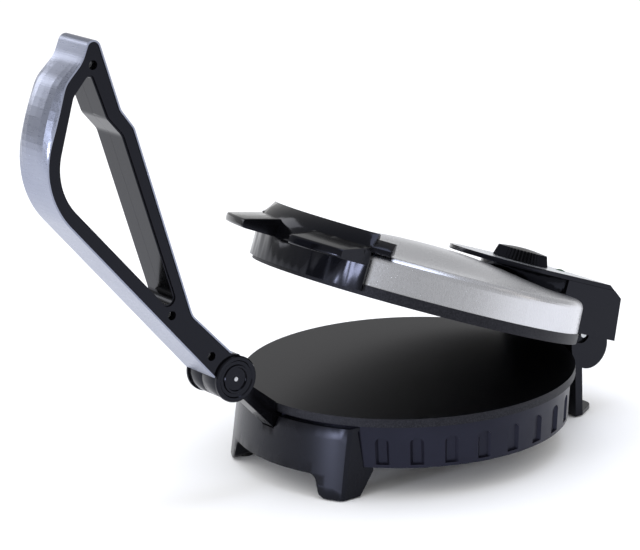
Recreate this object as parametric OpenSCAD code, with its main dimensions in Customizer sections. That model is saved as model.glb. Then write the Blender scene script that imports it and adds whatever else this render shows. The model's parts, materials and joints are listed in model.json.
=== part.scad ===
// Electric roti maker: two round cooking plates hinged at the back, and a long press handle
// on a fixed arm at the front.
// Built in its own frame: +Z up, -Y is the front, the table is z = 0, and the origin lies under
// the middle of the whole object as it stands with its lid half open.
// Modules are drawn about the plate centre, lid pieces as if the lid were shut, and handle pieces
// about the barrel at the foot of the handle. The place modules then set them in the rest pose.

/* [Cooking plates] */
// Diameter of both cooking plates
plate_d = 254; // [240:1:280]
// Height of the lower cooking face above the table
plate_h = 62; // [58:0.5:72]
// Depth of the lower plate at its rim
rim_t = 6.5; // [5:0.5:9]
// Depth of the upper plate at its rim
lid_rim_t = 8; // [6:0.5:10]
// Thickness of a plate behind its cooking face
web_t = 4.5; // [3.5:0.1:5]
// Gap between the cooking faces when the lid is shut
plate_gap = 0.5; // [0.3:0.1:2]

/* [Heating elements] */
// Radius of the ring of tubular element on each plate
element_r = 82; // [70:1:90]
// Diameter of the element tube
element_d = 6.6; // [5:0.2:7.6]
// Radius of the heat shield behind each element
shield_r = 106; // [98:1:110]

/* [Base drum] */
// Gap from the plate edge in to the top of the drum wall
drum_inset = 3.5; // [2.5:0.5:5]
// How much the drum narrows from its top to its bottom, on the radius
drum_taper = 2.5; // [1:0.5:4]
// Height of the drum's bottom edge above the table
drum_z = 22.5; // [20:0.5:28]
// Wall of the drum and of the other moulded covers
wall = 2.6; // [2.2:0.1:3.2]
// Number of flutes on each side of the drum
flutes = 8; // [4:1:8]
// Width of a flute
flute_w = 10.6; // [6:0.2:12]
// Depth of a flute
flute_depth = 2.4; // [1:0.1:2.8]

/* [Front housing] */
// Half width of the front housing
housing_x = 72; // [64:1:80]
// How far its skin stands outside the plate edge at the top
housing_top_out = 3; // [2:0.5:5]
// How far its skin stands outside the plate edge at the table
housing_foot_out = 11; // [8:0.5:14]
// Height of the arch between its two feet
arch_h = 18; // [12:1:20]

/* [Press arm and handle] */
// Distance of the barrel axis in front of the plate edge
barrel_out = 43.6; // [40:0.5:50]
// Height of the barrel axis above the lower cooking face
barrel_up = 31; // [28:0.5:36]
// Outer radius of the barrel
barrel_r = 16.5; // [15.5:0.1:18]
// Width of the handle across the frame
handle_w = 35; // [30:1:40]
// Width of the press arm
arm_w = 14; // [10:1:16]
// Thickness of the steel band round the handle
band_t = 1.2; // [0.8:0.1:2]
// How far the band stands past each side face of the frame
band_lip = 0.8; // [0.4:0.1:1.5]
// How much wider the band is over the palm, on each side
palm_widen = 1.9; // [0:0.1:4]
// How far the band swells outwards over the palm
palm_crown = 5; // [0:0.5:8]
// Radius of the barrel pin
pin_r = 3; // [2.5:0.1:4]

/* [Lid] */
// Distance of the hinge axis behind the plates' rim
hinge_behind = 12; // [9:0.5:19]
// Height of the hinge axis above the lower cooking face
hinge_up = 6; // [4:0.5:10]
// Opening of the lid in the rest pose, in degrees
lid_rest = 21; // [0:1:60]
// Radius of the hinge pin
hinge_pin_r = 3; // [2.5:0.1:4]
// Thickness of the stainless steel cover
steel_t = 1; // [0.6:0.1:1.5]
// Height of the cover's side wall
cover_wall_h = 24; // [20:0.5:28]
// Rise of the cover's crown above its shoulder
crown_h = 11.1; // [6:0.1:12]
// Half width of the rear housing and the control panel
panel_x = 45; // [40:1:50]
// Thickness of the control panel
panel_t = 3.6; // [3:0.1:5]

/* [Thermostat knob] */
// Distance of the knob in front of the plates' rim at the back
knob_inset = 32.7; // [29:0.1:37]
// Radius of the knob at its base
knob_r = 22.5; // [18:0.5:26]
// Height of the knob at its edge
knob_h = 8.4; // [6:0.2:12]
// Number of grip grooves round the knob
knob_ribs = 44; // [12:2:48]

/* [Clearances] */
// Radial clearance of a turning pin or shaft in its bore
run_gap = 0.05; // [0.02:0.01:0.1]
// Clearance between pieces fitted side by side
fit_gap = 0.3; // [0.2:0.05:0.5]

/* [Hidden] */
$fn = 96;
eps = 0.01;
plate_r = plate_d / 2;

// Lid pieces are drawn shut, from these heights up
lid_z = plate_h + plate_gap;
lid_rim_z = lid_z + lid_rim_t;
shoulder_z = lid_rim_z + cover_wall_h;
cover_r = plate_r - 1;
shoulder_fillet = 6;
crown_r = cover_r - shoulder_fillet - 1;
crown_z = shoulder_z + crown_h;
panel_z = crown_z + 0.4;
panel_top = panel_z + panel_t;
knob_y = plate_r - knob_inset;
tongue_y = knob_y - 14.8;
hinge_y = plate_r + hinge_behind;
hinge_z = plate_h + hinge_up;

// Base levels
plate_under = plate_h - rim_t;
drum_top_r = plate_r - drum_inset;
drum_foot_r = drum_top_r - drum_taper;
drum_wall = wall + 1.4;
housing_z = plate_under - 1.9;
housing_top_r = plate_r + housing_top_out;
housing_foot_r = plate_r + housing_foot_out;
sole_z = 1;
sole_t = 2.4;
pad_t = 1.8;
notch_z = plate_h - 20.5;

// Barrel at the foot of the handle
barrel_y = -(plate_r + barrel_out);
barrel_z = plate_h + barrel_up;
frame_x = handle_w / 2;
eye_r = barrel_r - 3.6;
cap_t = 2.6;
cap_r = barrel_r + 0.8;
arm_lean = 46.2;
handle_swing = 52;

// Rear housing
box_foot_y = hinge_y + 32.9;
box_top_y = box_foot_y - 5.1;
chamfer_y = box_top_y - 14.5;
chamfer_drop = 8.5;
box_foot_z = hinge_z - 0.4;
bracket_x = panel_x - wall - 0.9;

// Plane helpers: corners are [x, y, radius] and run anticlockwise
function xy(p) = [p[0], p[1]];
function unit(v) = v / norm(v);
function wrapped(a) = a > 180 ? a - 360 : (a < -180 ? a + 360 : a);
function corner_arc(a, b, c, r) =
    let (u = unit(a - b), v = unit(c - b), half = acos(u * v) / 2,
         centre = b + unit(u + v) * r / sin(half),
         s = b + u * r / tan(half) - centre, e = b + v * r / tan(half) - centre,
         from = atan2(s[1], s[0]), sweep = wrapped(atan2(e[1], e[0]) - from),
         steps = max(2, ceil(abs(sweep) / (r > 15 ? 4 : 9))))
    r < eps ? [b] : [for (i = [0:steps]) let (t = from + sweep * i / steps)
                     centre + r * [cos(t), sin(t)]];
function rounded(c) = let (n = len(c))
    [for (i = [0:n - 1])
        each corner_arc(xy(c[(i + n - 1) % n]), xy(c[i]), xy(c[(i + 1) % n]), c[i][2])];
// Corners moved in by t, with each radius kept concentric
function inset_corner(a, b, c, t) =
    let (u = unit(b - a), v = unit(c - b), k = 1 + u * v)
    b + t * [-(u[1] + v[1]), u[0] + v[0]] / k;
function inset(c, t) = let (n = len(c))
    [for (i = [0:n - 1])
        let (a = xy(c[(i + n - 1) % n]), b = xy(c[i]), d = xy(c[(i + 1) % n]),
             p = inset_corner(a, b, d, t), bend = cross(b - a, d - b))
        [p[0], p[1], c[i][2] < eps ? 0 : max(0.2, c[i][2] - t * sign(bend))]];

// Drawn in the (y, z) plane and extruded across x
module across(w, x = 0) translate([x, 0, 0]) rotate([90, 0, 90]) linear_extrude(w, center = true) children();
module from_x(x0, x1) across(x1 - x0, (x0 + x1) / 2) children();
// Drawn in the (x, z) plane and extruded along y from y0 to y1
module along_y(y0, y1) translate([0, y1, 0]) rotate([90, 0, 0]) linear_extrude(y1 - y0) children();
// A ring section swept round the front, half of it on each side of -Y
module sweep_front(half) rotate([0, 0, -90 - half]) rotate_extrude(angle = 2 * half) children();
module tube(r, bore, h) difference() {
    cylinder(r = r, h = h);
    translate([0, 0, -eps]) cylinder(r = bore, h = h + 2 * eps);
}

// Outline of the handle about its barrel axis, with corners as [y, z, radius]
grip = [[-12, -2.5, 0], [0, -12, 0], [8, 18, 4], [-2.3, 20.9, 3], [-33.5, 54.5, 14],
        [-73.5, 197.5, 10], [-83.5, 211.5, 12], [-101.6, 274, 5.9], [-112.6, 249, 22],
        [-127.4, 235.3, 22], [-153.1, 163.9, 64]];
// The palm's swelling, from 0 to 1, at a point of that outline
palm_z = 212;
palm_half = 44;
function swell(p) = p[0] > -106 || abs(p[1] - palm_z) > palm_half ? 0
    : (1 + cos(180 * (p[1] - palm_z) / palm_half)) / 2;
// Side view of the rear housing
box_side = [[box_foot_y, box_foot_z, 1.5], [box_top_y, panel_top - chamfer_drop, 1.5],
            [chamfer_y, panel_top, 1], [chamfer_y - 40, panel_top, 0], [chamfer_y - 40, box_foot_z, 0]];

// Rest pose of each group
front_reach = -barrel_y + max([for (p = rounded(grip)) palm_crown * swell(p) - p[0]]);
function posed_y(y, z) = hinge_y + (y - hinge_y) * cos(lid_rest) + (z - hinge_z) * sin(lid_rest);
rear_reach = max([for (p = rounded(box_side)) posed_y(p[0], p[1])]);
plate_y = (front_reach - rear_reach) / 2;
module place() translate([0, plate_y, 0]) children();
module on_lid() place() translate([0, hinge_y, hinge_z]) rotate([-lid_rest, 0, 0])
    translate([0, -hinge_y, -hinge_z]) children();
module on_handle() place() translate([0, barrel_y, barrel_z]) children();

// BASE

drum_skin = [[drum_foot_r, drum_z], [drum_top_r, plate_under]];
drum_lean = atan(drum_taper / (plate_under - drum_z));
module drum_solid(grow = 0) rotate_extrude()
    polygon([[0, drum_z - grow], [drum_foot_r + grow, drum_z - grow],
             [drum_top_r + grow, plate_under + grow], [0, plate_under + grow]]);

flute_top = drum_z + 23.5;
lip_h = 2.6;
// Arched recess with sloping sides, tipped to follow the drum's taper
module flute_cut() translate([drum_foot_r, 0, drum_z]) rotate([0, drum_lean, 0])
    intersection() {
        translate([-flute_depth, 0, 0]) rotate([90, 0, 90]) linear_extrude(10)
            polygon(rounded([[-flute_w / 2, lip_h, 0], [flute_w / 2, lip_h, 0],
                             [flute_w / 2, flute_top - drum_z, flute_w / 2 - 0.2],
                             [-flute_w / 2, flute_top - drum_z, flute_w / 2 - 0.2]]));
        linear_extrude(plate_h) polygon([[-flute_depth, -flute_w / 2 + flute_slope],
            [0.6, -flute_w / 2 - 0.4], [0.6, flute_w / 2 + 0.4], [-flute_depth, flute_w / 2 - flute_slope]]);
    }
flute_slope = 2.2;

boss_r = drum_foot_r - drum_wall - 3.6;
boss_h = plate_under - drum_z - 6;
cover_t = 2;
screw_r = 1.6;
screw_head_r = 3;
base_screw_angles = [30, 90, 150, 210, 330];
gland_angle = 128;
gland_z = drum_z + 15;
gland_r = 5;
gland_flange_r = gland_r + 2;
gland_seat = drum_foot_r - drum_wall - 2;
// The drum widens upwards, so the flange stands off by the skin's radius at its own top
function drum_skin_r(z) = drum_foot_r + drum_taper * (z - drum_z) / (plate_under - drum_z);
gland_reach = drum_skin_r(gland_z + gland_flange_r) - gland_seat + fit_gap;
pad_x = 16;
arm_seat_y = -(drum_top_r + 0.4);

module base_drum() color([0.13, 0.14, 0.17]) place() difference() {
    union() {
        difference() {
            drum_solid();
            rotate_extrude() polygon([[0, drum_z - eps], [drum_foot_r - drum_wall, drum_z - eps],
                [drum_top_r - drum_wall, plate_under - wall], [shield_r + 2, plate_under - wall],
                [shield_r + 2, plate_under + 1], [0, plate_under + 1]]);
            for (side = [-1, 1], k = [0:flutes - 1])
                rotate([0, 0, -90 + side * (43 + 12 * k)]) flute_cut();
        }
        // Screw bosses for the bottom cover
        for (a = base_screw_angles) rotate([0, 0, a]) translate([boss_r, 0, drum_z + cover_t + 0.2])
            cylinder(r = 4.5, h = boss_h);
        // Seat for the press arm, clear of the bottom cover
        difference() {
            translate([-pad_x, arm_seat_y, drum_z]) cube([2 * pad_x, 9, housing_z - drum_z - wall - fit_gap]);
            translate([0, 0, drum_z - 1])
                cylinder(r = drum_foot_r - drum_wall + 0.4, h = cover_t + 1 + fit_gap);
        }
        // Tie to the rear bracket
        difference() {
            translate([-rear_tie_x, drum_top_r - 6, drum_z])
                cube([2 * rear_tie_x, post_y - drum_top_r + 6, tie_h]);
            translate([-rear_tie_x + wall, drum_top_r - 7, drum_z + wall])
                cube([2 * (rear_tie_x - wall), post_y - drum_top_r, tie_h - 2 * wall]);
        }
    }
    for (a = base_screw_angles) rotate([0, 0, a]) translate([boss_r, 0, drum_z])
        cylinder(r = screw_r + 0.02, h = boss_h - 6);
    for (side = [-1, 1]) {
        translate([side * arm_hole_x, -plate_r, drum_z + 6]) rotate([-90, 0, 0])
            cylinder(r = screw_r + 0.02, h = 16);
        translate([side * tie_hole_x, post_y + 1, drum_z + tie_h / 2]) rotate([90, 0, 0])
            cylinder(r = screw_r + 0.02, h = 9);
    }
    rotate([0, 0, gland_angle]) translate([0, 0, gland_z]) rotate([0, 90, 0])
        cylinder(r = gland_r + 0.1, h = plate_r);
}

module base_bottom_cover() color([0.16, 0.16, 0.18]) place() difference() {
    union() {
        translate([0, 0, drum_z]) cylinder(r = drum_foot_r - drum_wall - fit_gap, h = cover_t);
        translate([0, 0, drum_z + cover_t - eps]) tube(60, 57, 3);
    }
    for (a = base_screw_angles) rotate([0, 0, a]) translate([boss_r, 0, drum_z - eps])
        cylinder(r = screw_r + 0.2, h = cover_t + 1);
    for (a = [15:30:345]) rotate([0, 0, a]) translate([76, -2, drum_z - 1]) cube([22, 4, 5]);
    for (a = [0:60:300]) rotate([0, 0, a]) translate([22, -2, drum_z - 1]) cube([20, 4, 5]);
}

// A cast plate: cooking face down at z = 0, ribs and element groove above
module cast_plate(rim) difference() {
    union() {
        cylinder(r = plate_r, h = web_t);
        tube(plate_r, plate_r - 6, rim);
        translate([0, 0, web_t - eps]) tube(element_r + groove_w, element_r - groove_w, 3.4);
        for (a = [45:90:315]) rotate([0, 0, a]) translate([post_r, 0, web_t - eps])
            cylinder(r = 5, h = post_h + eps);
    }
    translate([0, 0, web_t + 3.4]) rotate_extrude() translate([element_r, 0])
        circle(r = element_d / 2 + 0.15, $fn = 48);
    for (a = [80, 100]) rotate([0, 0, a]) translate([element_r, 0, web_t + 0.7])
        cylinder(r = element_d / 2 + 0.7, h = post_h);
    for (a = [45:90:315]) rotate([0, 0, a]) translate([post_r, 0, web_t + 1])
        cylinder(r = screw_r + 0.02, h = post_h);
}
groove_w = element_d / 2 + 2.4;
post_r = 58;
post_h = 11;
shield_t = 1;

module lower_plate() color([0.09, 0.09, 0.10]) place() translate([0, 0, plate_h])
    mirror([0, 0, 1]) cast_plate(rim_t);

// Ring of sheathed tube with its two cold pins turned up, away from the plate
module element() {
    rotate([0, 0, 100]) translate([0, 0, web_t + 3.4]) {
        rotate_extrude(angle = 340) translate([element_r, 0]) circle(r = element_d / 2, $fn = 48);
        for (a = [0, 340]) rotate([0, 0, a]) translate([element_r, 0, -2.6]) {
            cylinder(r = element_d / 2 + 0.5, h = post_h);
            cylinder(r = 1.2, h = post_h + 7);
        }
    }
}

// Dished disc screwed to the plate's posts, with holes for the element's pins
module heat_shield() difference() {
    union() {
        cylinder(r = shield_r, h = shield_t);
        translate([0, 0, -3]) tube(shield_r, shield_r - shield_t, 3 + eps);
    }
    for (a = [45:90:315]) rotate([0, 0, a]) translate([post_r, 0, -1])
        cylinder(r = screw_r + 0.2, h = 4);
    for (a = [100, 80]) rotate([0, 0, a]) translate([element_r, 0, -1])
        cylinder(r = element_d / 2 + 1.2, h = 4);
}

module lower_element() color([0.55, 0.52, 0.48]) place() translate([0, 0, plate_h])
    mirror([0, 0, 1]) element();
module lower_heat_shield() color([0.75, 0.75, 0.76]) place()
    translate([0, 0, plate_h - web_t - post_h]) mirror([0, 0, 1]) heat_shield();

// Front housing
housing_rim = [[housing_top_r, housing_z], [housing_foot_r, sole_z]];
housing_half = asin(housing_x / housing_top_r) + 1;
foot_in_x = 53;
foot_inner_r = drum_foot_r + 1;
notch_x = arm_w / 2 + 0.5;
function skin_r(z) = housing_foot_r + (housing_top_r - housing_foot_r) * (z - sole_z) / (housing_z - sole_z);

module housing_block(shrink) rotate_extrude()
    polygon([[0, sole_z - (shrink > 0 ? 1 : 0)],
             [skin_r(sole_z) - shrink, sole_z - (shrink > 0 ? 1 : 0)],
             [housing_top_r - shrink, housing_z - shrink], [0, housing_z - shrink]]);

module arch_profile(grow = 0) polygon(rounded(inset([[-foot_in_x - 9, -1, 0], [foot_in_x + 9, -1, 0],
    [foot_in_x + 1, 3.6, 5], [foot_in_x - 3.5, arch_h, 7],
    [-foot_in_x + 3.5, arch_h, 7], [-foot_in_x - 1, 3.6, 5]], grow)));

module front_housing() color([0.06, 0.06, 0.07]) place() difference() {
    union() {
        intersection() {
            difference() {
                housing_block(0);
                housing_block(wall);
            }
            translate([-housing_x, -2 * plate_r, 0]) cube([2 * housing_x, plate_r * 1.3, plate_h]);
        }
        // Side walls down to the feet
        for (side = [-1, 1]) intersection() {
            housing_block(0);
            across(wall, side * (housing_x - wall / 2)) polygon(housing_side);
        }
        // Soles, and the ledges that carry the drum
        intersection() {
            housing_block(0);
            union() {
                along_y(-2 * plate_r, -foot_back_y) for (side = [-1, 1])
                    polygon([[side * housing_x, sole_z], [side * (foot_in_x + 1), sole_z],
                             [side * (foot_in_x + 1), sole_z + sole_t], [side * housing_x, sole_z + sole_t]]);
                for (side = [-1, 1]) along_y(-2 * plate_r, -foot_ledge_y)
                    polygon([[side * housing_x, drum_z - wall - 0.1], [side * (foot_in_x - 4), drum_z - wall - 0.1],
                             [side * (foot_in_x - 4), drum_z - 0.1], [side * housing_x, drum_z - 0.1]]);
            }
        }
        // Inner walls of the feet, round the arch
        intersection() {
            housing_block(0);
            along_y(-2 * plate_r, -foot_back_y) difference() {
                arch_profile(-wall);
                arch_profile(0);
                translate([-plate_r, -2]) square([2 * plate_r, sole_z + 2]);
            }
        }
    }
    drum_solid(fit_gap / 2);
    along_y(-2 * plate_r, -20) arch_profile();
    for (side = [0, 1]) mirror([side, 0, 0]) corner_cut();
    // Notch for the press arm
    across(2 * notch_x) polygon([[arm_front + 4, notch_z - 1.3 - 4 * arm_slope],
        [arm_front - 12, notch_z - 1.3 + 12 * arm_slope], [arm_front - 12, plate_h], [arm_front + 4, plate_h]]);
    along_y(-2 * plate_r, -20) polygon([[-notch_x, notch_z + 3], [notch_x, notch_z + 3], [notch_x + 1.5, notch_z + 5],
        [notch_x + 7.5, plate_h], [-notch_x - 7.5, plate_h], [-notch_x - 1.5, notch_z + 5]]);
    for (side = [-1, 1]) translate([side * pad_place_x, -pad_place_y, sole_z - 1])
        cylinder(r = foot_pad_r + 0.1, h = 1 + pad_t - sole_z + 0.05);
    for (side = [-1, 1]) translate([side * (housing_x - 9), -foot_ledge_y - 9, drum_z - 6])
        cylinder(r = screw_r + 0.2, h = 6);
}
// What the rounding of an upright corner takes off, as a prism along the leaning corner
function corner_y(z) = sqrt(pow(skin_r(z), 2) - pow(housing_x, 2));
corner_tilt = atan((corner_y(sole_z) - corner_y(housing_z)) / (housing_z - sole_z));
corner_along = unit([-corner_y(drum_z), -housing_x]);
corner_round = 4.5;
module corner_cut() translate([housing_x, -corner_y(drum_z), drum_z]) rotate([-corner_tilt, 0, 0])
    linear_extrude(3 * plate_h, center = true) difference() {
        polygon([[0, 3], [3, 3], [3, -6], 4 * corner_along - [0, 3], 4 * corner_along, [-1.5, 0]]);
        polygon(rounded([[0, 0, corner_round], [0, 20, 0], [-20, 20, 0],
                         [20 * corner_along[0], 20 * corner_along[1], 0]]));
    }
foot_back_y = sqrt(pow(skin_r(sole_z), 2) - pow(housing_x, 2)) - 16;
foot_ledge_y = sqrt(pow(drum_foot_r, 2) - pow(housing_x, 2)) - 8;
drum_side_y = sqrt(pow(drum_foot_r, 2) - pow(housing_x, 2)) + 1.2;
side_top_y = corner_y(housing_z) - 5.5;
housing_side = [[-2 * plate_r, sole_z], [-foot_back_y, sole_z], [-foot_ledge_y, arch_h],
                [-foot_ledge_y, drum_z], [-drum_side_y, drum_z], [-drum_side_y, drum_z + 3],
                [-side_top_y, housing_z], [-2 * plate_r, housing_z]];
pad_place_x = housing_x - 10;
pad_place_y = foot_back_y + 9;
foot_pad_r = 5.5;

module front_feet() color([0.10, 0.10, 0.10]) place() for (side = [-1, 1])
    translate([side * pad_place_x, -pad_place_y, 0]) cylinder(r = foot_pad_r, h = pad_t);

// Press arm: an eye round the barrel pin, a leaning arm, and a foot screwed to the drum
arm_hole_x = 10.5;
arm_foot_x = pad_x - 1;
arm_front = -(skin_r(notch_z) - wall - 0.55);
arm_low = drum_z + 1;
arm_eye = [barrel_y, barrel_z];
arm_dir = [sin(arm_lean), -cos(arm_lean)];
arm_side = [cos(arm_lean), sin(arm_lean)];
arm_in = arm_eye + 6 * arm_dir;
arm_bend_y = -(plate_r + 0.9);
arm_heel = [arm_front, notch_z - 0.5];
arm_under = arm_in - 4.6 * arm_side - arm_heel;
arm_slope = -arm_under[1] / arm_under[0];
module press_arm() color([0.05, 0.05, 0.05]) place() difference() {
    union() {
        across(arm_w) polygon([arm_in + 4.2 * arm_side, arm_in - 4.6 * arm_side, arm_heel, [arm_front, arm_low],
            [arm_seat_y, arm_low], [arm_seat_y, plate_under - 2], [arm_bend_y, plate_under - 0.6],
            [arm_bend_y, plate_h + 1]]);
        across(2 * arm_foot_x) polygon([[arm_front, arm_low], [arm_seat_y, arm_low],
            [arm_seat_y, arm_low + 12], [arm_front, arm_low + 12]]);
        translate([0, barrel_y, barrel_z]) rotate([0, 90, 0]) cylinder(r = eye_r, h = arm_w, center = true);
    }
    translate([0, barrel_y, barrel_z]) rotate([0, 90, 0])
        cylinder(r = pin_r + run_gap, h = arm_w + 2, center = true);
    for (side = [-1, 1]) translate([side * arm_hole_x, arm_front, drum_z + 6]) rotate([-90, 0, 0]) {
        cylinder(r = screw_r + 0.2, h = 12);
        translate([0, 0, -1]) cylinder(r = 2.9, h = 3);
    }
}

// A pan-head screw along +Z, with the underside of its head at z = 0
module screw(length, r = screw_r, head_r = screw_head_r) {
    cylinder(r = r, h = length);
    translate([0, 0, -1.8]) difference() {
        cylinder(r = head_r, h = 1.8);
        for (a = [0, 90]) rotate([0, 0, a]) translate([-head_r * 0.6, -0.4, -1]) cube([head_r * 1.2, 0.8, 1.8]);
    }
}
module arm_screws() color([0.6, 0.6, 0.62]) place() for (side = [-1, 1])
    translate([side * arm_hole_x, arm_front + 2, drum_z + 6]) rotate([-90, 0, 0]) screw(10, head_r = 2.6);
module base_screws() color([0.6, 0.6, 0.62]) place() {
    for (a = base_screw_angles) rotate([0, 0, a]) translate([boss_r, 0, drum_z]) screw(14);
    for (side = [-1, 1]) translate([side * tie_hole_x, post_y + post_t, drum_z + tie_h / 2])
        rotate([90, 0, 0]) screw(14);
}

// Rear bracket: a post with a hinge knuckle on top and a foot plate
post_y = hinge_y - 7;
post_t = 7;
rear_tie_x = 24;
tie_h = 21;
knuckle_y = hinge_y + 7.9;
knuckle_z = hinge_z - 12;
knuckle_r = 18.2;
hinge_barrel_r = 11;
tab_x = 30;
tab_y = post_y + 26;
module rear_bracket() color([0.06, 0.06, 0.07]) place() difference() {
    union() {
        across(2 * bracket_x) union() {
            translate([knuckle_y, knuckle_z]) circle(r = knuckle_r);
            translate([hinge_y, hinge_z]) circle(r = hinge_barrel_r);
            polygon([[knuckle_y - knuckle_r, knuckle_z], [hinge_y - hinge_barrel_r, hinge_z],
                     [hinge_y + 0.8 * hinge_barrel_r, hinge_z + 0.6 * hinge_barrel_r],
                     [knuckle_y + 0.85 * knuckle_r, knuckle_z + 0.52 * knuckle_r]]);
        }
        translate([-bracket_x, post_y, tab_z]) cube([2 * bracket_x, post_t, knuckle_z - tab_z]);
        translate([0, 0, tab_z]) linear_extrude(2.6) polygon(rounded([[-bracket_x, post_y, 0], [bracket_x, post_y, 0],
            [bracket_x, post_y + post_t, 2], [tab_x, tab_y, 11], [-tab_x, tab_y, 11], [-bracket_x, post_y + post_t, 2]]));
    }
    translate([0, hinge_y, hinge_z]) rotate([0, 90, 0])
        cylinder(r = hinge_pin_r + run_gap, h = 3 * panel_x, center = true);
    // Room for the bosses on the lid's cheeks
    for (side = [-1, 1]) translate([side * (panel_x - wall - 1.4), hinge_y, hinge_z]) rotate([0, 90, 0])
        cylinder(r = hinge_boss_r + fit_gap, h = 3 + 2 * fit_gap, center = true);
    for (side = [-1, 1]) translate([side * rear_pad_x, rear_pad_y, tab_z - 1])
        cylinder(r = foot_pad_r + 0.1, h = 1 + pad_t - tab_z + 0.05);
    for (side = [-1, 1]) translate([side * tie_hole_x, post_y - 1, drum_z + tie_h / 2]) rotate([-90, 0, 0])
        cylinder(r = screw_r + 0.2, h = 20);
}
tab_z = 1;
tie_hole_x = 14;
hinge_boss_r = 7.8;
hinge_pin_x = panel_x - 1;
rear_pad_x = 16;
rear_pad_y = tab_y - 9;
module rear_feet() color([0.10, 0.10, 0.10]) place() for (side = [-1, 1])
    translate([side * rear_pad_x, rear_pad_y, 0]) cylinder(r = foot_pad_r, h = pad_t);

module hinge_pin() color([0.7, 0.7, 0.72]) place() translate([0, hinge_y, hinge_z])
    rotate([0, 90, 0]) cylinder(r = hinge_pin_r, h = 2 * hinge_pin_x, center = true);

module cord_gland() color([0.08, 0.08, 0.08]) place() rotate([0, 0, gland_angle])
    translate([gland_seat, 0, gland_z]) rotate([0, 90, 0]) difference() {
        union() {
            cylinder(r = gland_r, h = gland_reach + 2);
            translate([0, 0, gland_reach]) cylinder(r = gland_flange_r, h = 3);
            translate([0, 0, -1.2]) cylinder(r = gland_r - 0.4, h = 2);
        }
        translate([0, 0, -2]) cylinder(r = gland_r - 1.8, h = gland_reach + 7);
    }

terminal_w = 34;
module terminal_block() color([0.85, 0.84, 0.80]) place() translate([-20, 34, drum_z + cover_t]) difference() {
    translate([-terminal_w / 2, -8, 0]) cube([terminal_w, 16, 12]);
    for (k = [-1, 0, 1]) translate([k * 10, 0, 5]) rotate([90, 0, 0]) cylinder(r = 1.8, h = 20, center = true);
    for (k = [-1, 0, 1]) translate([k * 10, 0, 6]) cylinder(r = 2, h = 8);
}
module thermal_fuse() color([0.80, 0.78, 0.70]) place()
    translate([30, -10, plate_h - web_t - 3.2]) rotate([0, 90, 0]) {
        cylinder(r = 3, h = 22, center = true);
        cylinder(r = 0.6, h = 40, center = true);
    }

// LID, drawn shut

function crown(r) = shoulder_z + crown_h * (1 + cos(180 * pow(r / crown_r, 1.3))) / 2;
crown_line = [for (i = [0:12]) [crown_r * i / 12, crown(crown_r * i / 12)]];
shoulder_arc = [for (a = [75:-15:0]) [cover_r - 1 - shoulder_fillet + shoulder_fillet * cos(a),
                                       shoulder_z - shoulder_fillet + shoulder_fillet * sin(a)]];
cover_line = concat(crown_line, shoulder_arc, [[cover_r, lid_rim_z]]);
module cover_solid(grow = 0) rotate_extrude() polygon(concat([[0, lid_rim_z - grow]],
    [for (p = cover_line) [p[0] + (p[0] > crown_r ? grow : 0), p[1] + grow * (p[1] > lid_rim_z + 1 ? 1 : -1)]]));

module upper_plate() color([0.09, 0.09, 0.10]) on_lid() translate([0, 0, lid_z]) cast_plate(lid_rim_t);
module upper_element() color([0.55, 0.52, 0.48]) on_lid() translate([0, 0, lid_z]) element();
module upper_heat_shield() color([0.75, 0.75, 0.76]) on_lid()
    translate([0, 0, lid_z + web_t + post_h]) heat_shield();

module lid_cover() color([0.72, 0.73, 0.76]) on_lid() difference() {
    cover_solid(0);
    translate([0, 0, -steel_t]) intersection() {
        cover_solid(0);
        cylinder(r = cover_r - steel_t, h = 3 * plate_h);
    }
    translate([0, 0, lid_rim_z - 2]) cylinder(r = cover_r - steel_t, h = 6);
    translate([0, knob_y, plate_h]) cylinder(r = neck_r + 0.3, h = 2 * plate_h);
    for (p = lid_screw_places) translate([p[0], p[1], plate_h]) cylinder(r = screw_r + 0.2, h = 2 * plate_h);
    translate([0, lamp_y, plate_h]) cylinder(r = lamp_r + 0.3, h = 2 * plate_h);
}

// Black moulding on the front of the lid: skirt, two ears, and the visor the handle bears on
catch_half = 32.5;
skirt_z = lid_z + 3;
skirt_top = skirt_z + 19;
skirt_r = plate_r + 3;
catch_r = plate_r + 0.6;
visor_foot_z = shoulder_z + 3.5;
visor_top_z = crown_z + 2.4;
visor_r = cover_r - 5;
ear_r = plate_r + 28.5;
ear_gap = 30;
ear_gap_in = 19;
ear_x = 71;
module catch_profile() polygon([[catch_r - 0.4, skirt_z], [skirt_r, skirt_z], [skirt_r, skirt_top],
    [catch_r + 1.2, skirt_top + 1], [catch_r + 0.2, visor_foot_z], [visor_r, visor_top_z],
    [visor_r - 2.6, visor_top_z - 0.6], [visor_r - 3.4, shoulder_z + 1.6], [visor_r - 4, shoulder_z - 4],
    [catch_r - 0.4, shoulder_z - 6]]);
module ear_profile() polygon(rounded([[catch_r - 0.4, skirt_top - 0.4, 0], [ear_r, skirt_top + 0.6, 2],
    [ear_r, skirt_top + 7, 2], [catch_r - 0.4, visor_foot_z, 0]]));
module ear_plan(grow = 0) for (side = [-1, 1]) polygon(rounded([
    [side * (ear_gap_in - grow), -catch_r + 10, 0], [side * (ear_gap - grow), -ear_r - 2, 0],
    [side * (ear_x + grow + 4), -ear_r - 2, 0], [side * (ear_x + grow - 3), -catch_r + 30, 0]]));
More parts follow.
